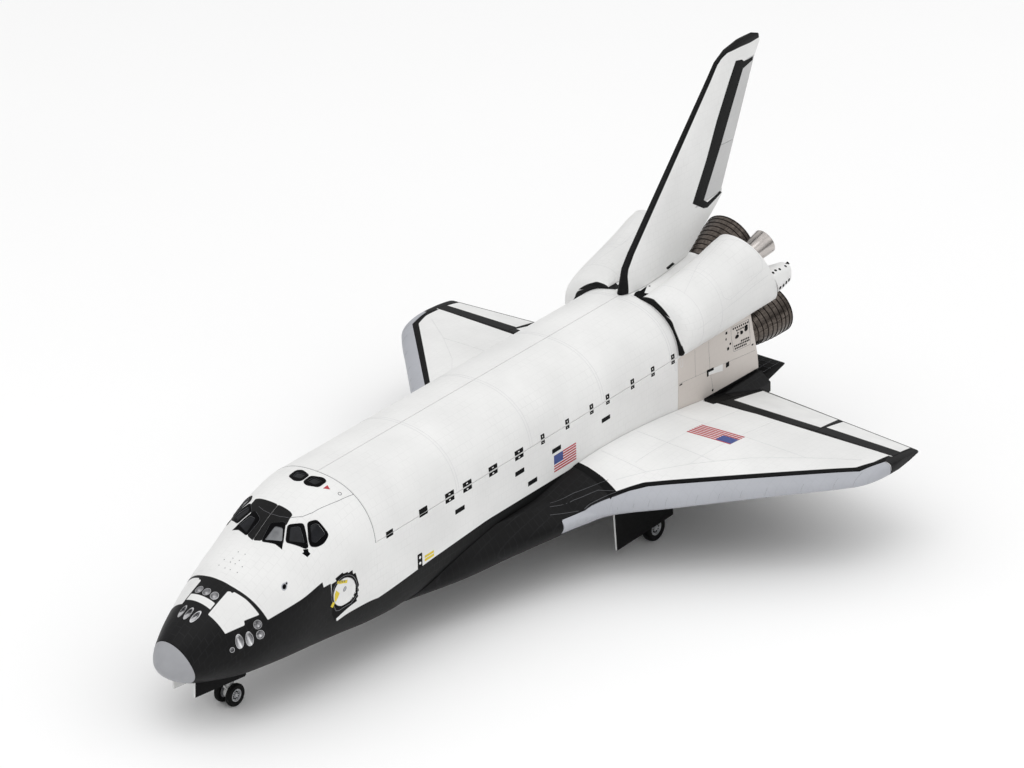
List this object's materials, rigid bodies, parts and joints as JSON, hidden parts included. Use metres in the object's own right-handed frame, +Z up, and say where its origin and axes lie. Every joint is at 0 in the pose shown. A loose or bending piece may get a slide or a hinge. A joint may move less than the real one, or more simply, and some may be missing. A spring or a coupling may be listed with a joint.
{
  "type": "scale model space shuttle",
  "caption": "Display scale model of a winged space shuttle on its landing gear, with opening payload bay doors, opening crew hatch and rolling wheels",
  "frame": {"origin": "bottom centre of the bounding box, on the floor that the wheels stand on", "axes": "-Y to the nose, +X to the port wing, +Z up; the airframe leans 3.744 degrees nose down on its gear"},
  "size_m": [0.3316, 0.4958, 0.2435],
  "materials": {
    "white_satin": "satin white paint",
    "pale_grey": "matt light grey paint",
    "tile_black": "matt black paint",
    "stone_grey": "matt warm grey paint",
    "nozzle_metal": "dark metallic paint",
    "bell_steel": "steel paint, satin",
    "gear_silver": "silver paint, satin",
    "tyre_rubber": "matt black",
    "smoked_clear": "smoked clear moulding, gloss",
    "cabin_grey": "matt mid grey paint"
  },
  "bodies": {
    "airframe": {"nose_cap": "pale_grey", "forward_thruster_module": "tile_black", "forward_fuselage_lower": "tile_black", "forward_fuselage_upper": "white_satin", "windshield_glazing": "smoked_clear", "overhead_glazing": "smoked_clear", "cabin_rear_bulkhead": "cabin_grey", "flight_deck": "cabin_grey", "mid_fuselage": "white_satin", "aft_fuselage": "stone_grey", "body_flap": "tile_black", "vertical_fin": "white_satin", "rudder_upper": "pale_grey", "rudder_lower": "pale_grey", "nose_leg": "white_satin", "nose_gear_door_port": "tile_black", "nose_gear_door_starboard": "tile_black", "wing_port": "white_satin", "leading_edge_port": "pale_grey", "elevon_inboard_port": "white_satin", "elevon_outboard_port": "white_satin", "orbital_engine_pod_port": "white_satin", "thruster_housing_port": "white_satin", "orbital_engine_bell_port": "bell_steel", "main_port_leg": "white_satin", "main_gear_door_port": "tile_black", "wing_starboard": "white_satin", "leading_edge_starboard": "pale_grey", "elevon_inboard_starboard": "white_satin", "elevon_outboard_starboard": "white_satin", "orbital_engine_pod_starboard": "white_satin", "thruster_housing_starboard": "white_satin", "orbital_engine_bell_starboard": "bell_steel", "main_starboard_leg": "white_satin", "main_gear_door_starboard": "tile_black", "main_engine_bell_upper": "nozzle_metal", "engine_heat_shield_upper": "stone_grey", "main_engine_bell_port": "nozzle_metal", "engine_heat_shield_port": "stone_grey", "main_engine_bell_starboard": "nozzle_metal", "engine_heat_shield_starboard": "stone_grey"},
    "nose_wheels": {"nose_wheel_hubs": "gear_silver", "nose_tyre_port": "tyre_rubber", "nose_tyre_starboard": "tyre_rubber"},
    "main_wheels_port": {"main_port_wheel_hubs": "gear_silver", "main_port_tyre_port": "tyre_rubber", "main_port_tyre_starboard": "tyre_rubber"},
    "main_wheels_starboard": {"main_starboard_wheel_hubs": "gear_silver", "main_starboard_tyre_port": "tyre_rubber", "main_starboard_tyre_starboard": "tyre_rubber"},
    "bay_door_port": {"bay_door_port": "white_satin"},
    "bay_door_starboard": {"bay_door_starboard": "white_satin"},
    "crew_hatch": {"crew_hatch": "white_satin"}
  },
  "joints": [
    {"name": "nose_wheels_roll", "type": "hinge", "parent": "airframe", "child": "nose_wheels", "pos_m": [0, -0.19868, 0.0061], "axis": [1, 0, 0], "continuous": true},
    {"name": "main_wheels_port_roll", "type": "hinge", "parent": "airframe", "child": "main_wheels_port", "pos_m": [0.04833, 0.0865, 0.00787], "axis": [1, 0, 0], "continuous": true},
    {"name": "main_wheels_starboard_roll", "type": "hinge", "parent": "airframe", "child": "main_wheels_starboard", "pos_m": [-0.04833, 0.0865, 0.00787], "axis": [1, 0, 0], "continuous": true},
    {"name": "bay_door_port_hinge", "type": "hinge", "parent": "airframe", "child": "bay_door_port", "pos_m": [0.03764, -0.12862, 0.07528], "axis": [0, 0.9979, 0.0653], "range_deg": [0, 175.5]},
    {"name": "bay_door_starboard_hinge", "type": "hinge", "parent": "airframe", "child": "bay_door_starboard", "pos_m": [-0.03764, -0.12862, 0.07528], "axis": [0, -0.9979, -0.0653], "range_deg": [0, 175.5]},
    {"name": "crew_hatch_hinge", "type": "hinge", "parent": "airframe", "child": "crew_hatch", "pos_m": [0.03603, -0.15072, 0.04838], "axis": [0.06, 0.9961, 0.0652], "range_deg": [0, 90]}
  ]
}
